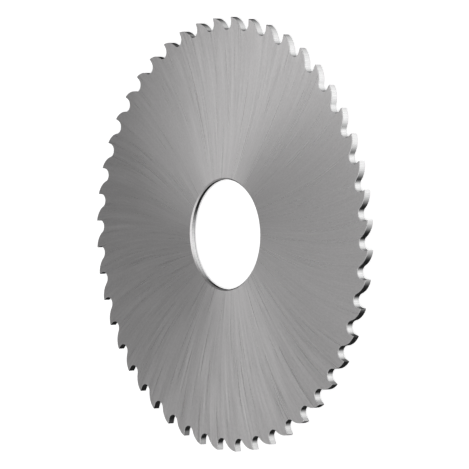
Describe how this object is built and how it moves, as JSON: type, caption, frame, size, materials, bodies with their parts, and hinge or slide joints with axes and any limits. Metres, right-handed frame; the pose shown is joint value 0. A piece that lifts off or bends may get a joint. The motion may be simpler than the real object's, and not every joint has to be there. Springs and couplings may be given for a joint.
{
  "type": "slitting saw",
  "caption": "Thin round saw blade with hooked teeth, round gullets, hollow-ground sides and a plain bore, clamped on an arbor to cut narrow slots in metal.",
  "frame": {"origin": "on the bore's axis, at the plane that the saw's underside rests on", "axes": "+Z along the bore's axis, up; +X through the cutting edge of one tooth; seen from above the teeth face anticlockwise"},
  "size_m": [0.063, 0.063, 0.001],
  "materials": {
    "ground_steel": "ground, with fine streaks fanning out from the bore"
  },
  "bodies": {
    "root": {"saw_blade": "ground_steel"}
  },
  "joints": []
}
